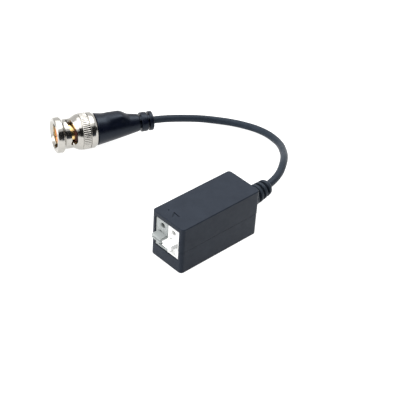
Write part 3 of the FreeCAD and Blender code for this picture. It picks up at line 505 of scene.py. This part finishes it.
def turned(angle):
    """Rotation about X by an angle in degrees."""
    return Matrix.Rotation(math.radians(angle), 4, "X")


def finish_mesh(name, mesh, slot, body, nodes, sharp):
    """Turns a bmesh in millimetres into a shaded piece that rides on a body.

    Edges that turn by that many degrees or more stay sharp. The nodes are those it stands for.
    """
    bmesh.ops.recalc_face_normals(mesh, faces=mesh.faces)
    bmesh.ops.scale(mesh, vec=(MM, MM, MM), verts=mesh.verts)
    for face in mesh.faces:
        face.smooth = True
    for edge in mesh.edges:
        edge.smooth = edge.calc_face_angle(math.pi) < math.radians(sharp)
    data = bpy.data.meshes.new(name)
    mesh.to_mesh(data)
    mesh.free()
    piece = bpy.data.objects.new(name, data)
    bpy.context.scene.collection.objects.link(piece)
    dress(piece, slot)
    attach(piece, body)
    if nodes:
        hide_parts(*nodes)
    return piece


def soften(piece, width, segments, angle):
    """Rounds the edges that turn by more than that many degrees."""
    bevel = piece.modifiers.new("edges", "BEVEL")
    bevel.width = width * MM
    bevel.segments = segments
    bevel.limit_method = "ANGLE"
    bevel.angle_limit = math.radians(angle)
    bevel.harden_normals = True


def rounded(corners, steps):
    """A chain of (station, radius) points through a profile, its fillets in that many steps."""
    chain = []
    count = len(corners)
    for index, (x, y, fillet) in enumerate(corners):
        here = Vector((x, y))
        if fillet == 0:
            chain.append(here)
            continue
        before = (Vector(corners[index - 1][:2]) - here).normalized()
        after = (Vector(corners[(index + 1) % count][:2]) - here).normalized()
        half = before.angle(after) / 2
        setback = fillet / math.tan(half)
        middle = here + (before + after).normalized() * (fillet / math.sin(half))
        first = here + before * setback - middle
        last = here + after * setback - middle
        for step in range(steps + 1):
            arm = first.slerp(last, step / steps).normalized() * fillet
            chain.append(middle + arm)
    return chain


def bridge(mesh, near, far, closed=True):
    """Faces between two rows of as many points, once round or from end to end."""
    count = len(near)
    for step in range(count if closed else count - 1):
        follow = (step + 1) % count
        mesh.faces.new([near[step], near[follow], far[follow], far[step]])


def lathe(mesh, chain, place, segments, closed=True, start=0.0, sweep=360.0):
    """Revolves a chain of (station, radius) points about X and adds it to a mesh."""
    full = sweep == 360.0
    count = segments if full else segments + 1
    rings = []
    for index in range(count):
        angle = math.radians(start + sweep * index / segments)
        spots = [Vector((x, r * math.cos(angle), r * math.sin(angle))) for x, r in chain]
        rings.append([mesh.verts.new(place @ spot) for spot in spots])
    for index in range(segments):
        bridge(mesh, rings[index], rings[(index + 1) % count], closed)
    if not full:
        mesh.faces.new(rings[0])
        mesh.faces.new(rings[-1])
    bmesh.ops.remove_doubles(mesh, verts=mesh.verts, dist=MERGE_DISTANCE)
    bmesh.ops.dissolve_degenerate(mesh, edges=mesh.edges, dist=MERGE_DISTANCE)


def box_mesh(mesh, low, high, place, bevel=0.0):
    """Adds a box between two corners, with bevelled edges."""
    made = bmesh.ops.create_cube(mesh, size=1.0)["verts"]
    for vert in made:
        vert.co = Vector(a + (b - a) * (c + 0.5) for a, b, c in zip(low, high, vert.co))
    if bevel:
        edges = list({edge for vert in made for edge in vert.link_edges})
        grown = bmesh.ops.bevel(
            mesh, geom=edges, offset=bevel, segments=3, profile=0.5, affect="EDGES"
        )
        made = list({vert for face in grown["faces"] for vert in face.verts})
    bmesh.ops.transform(mesh, matrix=place, verts=made)


def moulding(name, node, slot, body, width, segments):
    """A node's shape with its sharp edges rounded, as a mould or a press leaves them."""
    mesh = bmesh.new()
    mesh.from_mesh(frame["nodes"][node].data)
    bmesh.ops.remove_doubles(mesh, verts=mesh.verts, dist=CAD_MERGE_METRES)
    flat = math.radians(CAD_FLAT_DEGREES)
    bmesh.ops.dissolve_limit(
        mesh, angle_limit=flat, verts=mesh.verts, edges=mesh.edges, delimit={"NORMAL"}
    )
    bmesh.ops.scale(mesh, vec=(1 / MM, 1 / MM, 1 / MM), verts=mesh.verts)
    piece = finish_mesh(name, mesh, slot, body, [node], sharp=25.0)
    soften(piece, width, segments, angle=30)


def gland_place(station):
    """Placement on the gland's bent axis."""
    place = along_x(GLAND_START, 0.0)
    done = 0.0
    for bend in GLAND_BENDS:
        if station > bend:
            place = place @ Matrix.Translation((bend - done, 0, 0))
            place = place @ Matrix.Rotation(math.radians(GLAND_BEND), 4, "Z")
            done = bend
    return place @ Matrix.Translation((station - done, 0, 0))


def gland_radius(station):
    """Radius of the plain taper over the rings."""
    return GLAND_ROOT_RADIUS + (GLAND_END_RADIUS - GLAND_ROOT_RADIUS) * station / GLAND_LENGTH


def make_gland():
    """Ringed strain relief: a root ring, two rings and a rounded end, joined by webs."""
    mesh = bmesh.new()
    spans = [(GLAND_WALL_GAP, RING_FIRST)]
    for index in range(len(RING_WEB_ANGLES)):
        start = RING_FIRST + index * RING_PITCH + RING_GAP
        spans.append((start, start + RING_PITCH - RING_GAP))
    spans[-1] = (spans[-1][0], GLAND_LENGTH)
    for index, (start, end) in enumerate(spans):
        place = gland_place(start)
        length = end - start
        fillet = 0.0 if index == 0 else RING_FILLET
        corners = [(0, GLAND_BORE, 0), (0, gland_radius(start), fillet)]
        if end == GLAND_LENGTH:
            place = gland_place(GLAND_LENGTH) @ Matrix.Translation((start - end, 0, 0))
            shoulder = gland_radius(GLAND_LENGTH - GLAND_END_BEVEL)
            corners += [
                (length - GLAND_END_BEVEL, shoulder, GLAND_END_FILLETS[0]),
                (length, GLAND_END_FACE, GLAND_END_FILLETS[1]),
            ]
        else:
            corners += [(length, gland_radius(end), RING_FILLET)]
        corners.append((length, GLAND_BORE, 0))
        lathe(mesh, rounded(corners, steps=8), place, segments=72)
    half = RING_GAP / 2 + RING_OVERLAP
    for index, angle in enumerate(RING_WEB_ANGLES):
        start = RING_FIRST + index * RING_PITCH
        place = gland_place(start + RING_GAP / 2)
        core = [
            (-half, GLAND_BORE), (-half, GLAND_CORE_RADIUS),
            (half, GLAND_CORE_RADIUS), (half, GLAND_BORE),
        ]
        lathe(mesh, core, place, segments=48)
        outer = gland_radius(start + RING_GAP) - RING_WEB_INSET
        corners = [
            (-half, RING_WEB_FOOT, 0), (-half, outer, RING_WEB_FILLET),
            (half, outer, RING_WEB_FILLET), (half, RING_WEB_FOOT, 0),
        ]
        for side in (0, 180):
            first = angle + side - RING_WEB_SWEEP / 2
            web = rounded(corners, steps=3)
            lathe(mesh, web, place, segments=12, start=first, sweep=RING_WEB_SWEEP)
    lathe(mesh, GLAND_SEAT, gland_place(0.0), segments=72)
    finish_mesh("strain_relief", mesh, "cord_jacket", "case", ["cable_gland"], sharp=40.0)


def slot_path():
    """Middle line of a slot as (length round, station), on a ramp that ends in a step back."""
    path = []
    for step in range(SLOT_STEPS + 1):
        share = step / SLOT_STEPS
        station = SLOT_START + (SLOT_END - SLOT_START) * min(share / SLOT_RAMP_SHARE, 1.0)
        back = max(share - SLOT_DETENT_SHARE, 0.0) / (1.0 - SLOT_DETENT_SHARE)
        around = math.radians(SLOT_SWEEP * share) * SLOT_MEAN_RADIUS
        path.append(Vector((around, station - SLOT_DETENT * back)))
    return path


def slot_cap(end, inward):
    """Points and half widths that round off the end of a slot."""
    half = SLOT_WIDTH / 2
    way = (end - inward).normalized()
    return [(end + way * half * math.sin(t), half * math.cos(t)) for t in SLOT_CAP_ANGLES]


def slot_cutter(start_angle):
    """Cutting shape of one helical slot with round ends."""
    inner, outer = SLOT_RADII
    path = slot_path()
    ribbon = list(reversed(slot_cap(path[0], path[1])))
    ribbon += [(spot, SLOT_WIDTH / 2) for spot in path]
    ribbon += slot_cap(path[-1], path[-2])
    mesh = bmesh.new()
    rows = []
    for index, (spot, width) in enumerate(ribbon):
        before = ribbon[max(index - 1, 0)][0]
        after = ribbon[min(index + 1, len(ribbon) - 1)][0]
        way = (after - before).normalized()
        across = Vector((-way.y, way.x))
        row = []
        for side, r in ((-1, inner), (-1, outer), (1, outer), (1, inner)):
            spread = spot + across * side * width
            angle = math.radians(start_angle) + spread.x / SLOT_MEAN_RADIUS
            row.append(mesh.verts.new((spread.y, r * math.cos(angle), r * math.sin(angle))))
        rows.append(row)
    for near, far in zip(rows, rows[1:]):
        bridge(mesh, near, far)
    mesh.faces.new(rows[0])
    mesh.faces.new(rows[-1])
    bmesh.ops.recalc_face_normals(mesh, faces=mesh.faces)
    return mesh


def keyway_cutter(angle):
    """Cutting shape of the groove from the mouth to a slot."""
    mesh = bmesh.new()
    half = SLOT_WIDTH / 2
    box_mesh(mesh, (-1, 0, -half), (SLOT_START, KEYWAY_RADIUS, half), turned(angle))
    return mesh


def cut(piece, cutters):
    """Takes shapes in the plug's own frame out of a piece."""
    for mesh in cutters:
        data = bpy.data.meshes.new("cutter")
        bmesh.ops.transform(mesh, matrix=PLUG, verts=mesh.verts)
        bmesh.ops.scale(mesh, vec=(MM, MM, MM), verts=mesh.verts)
        mesh.to_mesh(data)
        mesh.free()
        cutter = bpy.data.objects.new("cutter", data)
        bpy.context.scene.collection.objects.link(cutter)
        modifier = piece.modifiers.new("cut", "BOOLEAN")
        modifier.operation = "DIFFERENCE"
        modifier.solver = "EXACT"
        modifier.object = cutter
        bpy.context.view_layer.update()
        graph = bpy.context.evaluated_depsgraph_get()
        result = bpy.data.meshes.new_from_object(piece.evaluated_get(graph))
        piece.modifiers.clear()
        piece.data = result
        bpy.data.objects.remove(cutter)


def make_nut():
    """Coupling nut: rolled flange, slotted waist, flare, bands and a rear that falls away."""
    mesh = bmesh.new()
    lathe(mesh, rounded(NUT_PROFILE, steps=6), PLUG, segments=144)
    nut = finish_mesh("coupling", mesh, "nickel", "nut", ["coupling_nut"], sharp=30.0)
    cutters = []
    for angle in KEYWAY_ANGLES:
        cutters += [keyway_cutter(angle), slot_cutter(angle)]
    cut(nut, cutters)
    soften(nut, NUT_EDGE, segments=2, angle=40)


def make_knurl():
    """Straight knurl: a tooth for each step round the grip, with chamfered ends."""
    mesh = bmesh.new()
    stations = [
        (KNURL_START - KNURL_LEAD, 0.0),
        (KNURL_START, KNURL_CHAMFER_RISE),
        (KNURL_START + KNURL_CHAMFER, 1.0),
        (KNURL_END - KNURL_CHAMFER, 1.0),
        (KNURL_END, KNURL_CHAMFER_RISE),
        (KNURL_END + KNURL_LEAD, 0.0),
    ]
    base = NUT_CREST - KNURL_DEPTH - KNURL_FOOT
    rings = []
    for station, rise in stations:
        ring = []
        for index in range(KNURL_TEETH):
            for share, height in KNURL_TOOTH:
                angle = 2 * math.pi * (index + share) / KNURL_TEETH
                r = base + rise * (KNURL_FOOT + KNURL_DEPTH * height)
                spot = PLUG @ Vector((station, r * math.cos(angle), r * math.sin(angle)))
                ring.append(mesh.verts.new(spot))
        rings.append(ring)
    for near, far in zip(rings, rings[1:]):
        bridge(mesh, near, far)
    finish_mesh("coupling_knurl", mesh, "nickel", "nut", [], sharp=50.0)


def ease(value):
    """Smooth step from 0 to 1."""
    value = min(max(value, 0.0), 1.0)
    return value * value * (3 - 2 * value)


def raise_pad(mesh):
    """Lifts the top of the boot's taper into a pad with a level crown and soft sides."""
    start, crown_start, crown_end, end = PAD_STATIONS
    for vert in mesh.verts:
        station, y, z = vert.co
        radius = math.hypot(y, z)
        if not start < station < end or radius < PAD_LEAST_RADIUS:
            continue
        rise = ease((station - start) / (crown_start - start))
        fall = ease((end - station) / (end - crown_end))
        off_top = abs(math.degrees(math.atan2(y, z)))
        aside = ease((PAD_HALF_ANGLE - off_top) / PAD_SIDE_ANGLE)
        lift = (PAD_HEIGHT - radius) * (rise * fall) * aside
        vert.co = (station, y * (1 + lift / radius), z * (1 + lift / radius))


def make_boot():
    """Boot: long taper with a raised pad, then two ribs joined by webs at the cord's end."""
    mesh = bmesh.new()
    corners = [
        (BOOT_START, BOOT_MOUTH_RADIUS, 0),
        (BOOT_START, BOOT_FRONT_RADIUS, BOOT_FRONT_FILLET),
    ]
    for step in range(1, TAPER_STEPS):
        share = step / TAPER_STEPS
        station = BOOT_START + (TAPER_END - BOOT_START) * share
        radius = BOOT_FRONT_RADIUS + (BOOT_TAIL_RADIUS - BOOT_FRONT_RADIUS) * share
        corners.append((station, radius + TAPER_CROWN * math.sin(math.pi * share), 0))
    corners += BOOT_TAIL_PROFILE + BOOT_CAVITY_PROFILE
    lathe(mesh, rounded(corners, steps=6), Matrix.Identity(4), segments=144)
    raise_pad(mesh)
    for angle in RIB_WEB_ANGLES:
        box_mesh(mesh, RIB_WEB_LOW, RIB_WEB_HIGH, turned(angle), RIB_WEB_EDGE)
    bmesh.ops.transform(mesh, matrix=PLUG, verts=mesh.verts)
    finish_mesh("boot", mesh, "boot_rubber", "case", ["plug_boot"], sharp=40.0)


def make_insulator():
    """Amber dielectric with a dished front round the centre pin's socket."""
    mesh = bmesh.new()
    lathe(mesh, rounded(INSULATOR_PROFILE, steps=5), PLUG, segments=72)
    finish_mesh("dielectric_plug", mesh, "amber_insulator", "case", ["insulator"], sharp=40.0)


def make_pin():
    """Centre pin with a rounded tip."""
    mesh = bmesh.new()
    lathe(mesh, rounded(PIN_PROFILE, steps=6), PLUG, segments=48, closed=False)
    finish_mesh("pin", mesh, "gold", "case", ["centre_pin"], sharp=40.0)


def make_cord():
    """The free lead: one smooth curve from the gland to the boot."""
    curve = bpy.data.curves.new("lead", "CURVE")
    curve.dimensions = "3D"
    curve.bevel_depth = CORD_DIAMETER / 2 * MM
    curve.bevel_resolution = 8
    curve.resolution_u = 24
    spline = curve.splines.new("NURBS")
    spline.points.add(len(CORD_ROUTE) - 1)
    for point, place in zip(spline.points, CORD_ROUTE):
        point.co = (Vector(place) * MM).to_4d()
    spline.order_u = 3
    spline.use_endpoint_u = True
    lead = bpy.data.objects.new("lead", curve)
    bpy.context.scene.collection.objects.link(lead)
    dress(lead, "cord_jacket")
    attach(lead, "case")
    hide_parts("cord")


make_camera()
make_floor()
make_studio()
make_flag()
dress_frame()
for piece in MOULDINGS:
    moulding(*piece)
make_gland()
make_nut()
make_knurl()
make_boot()
make_insulator()
make_pin()
make_cord()
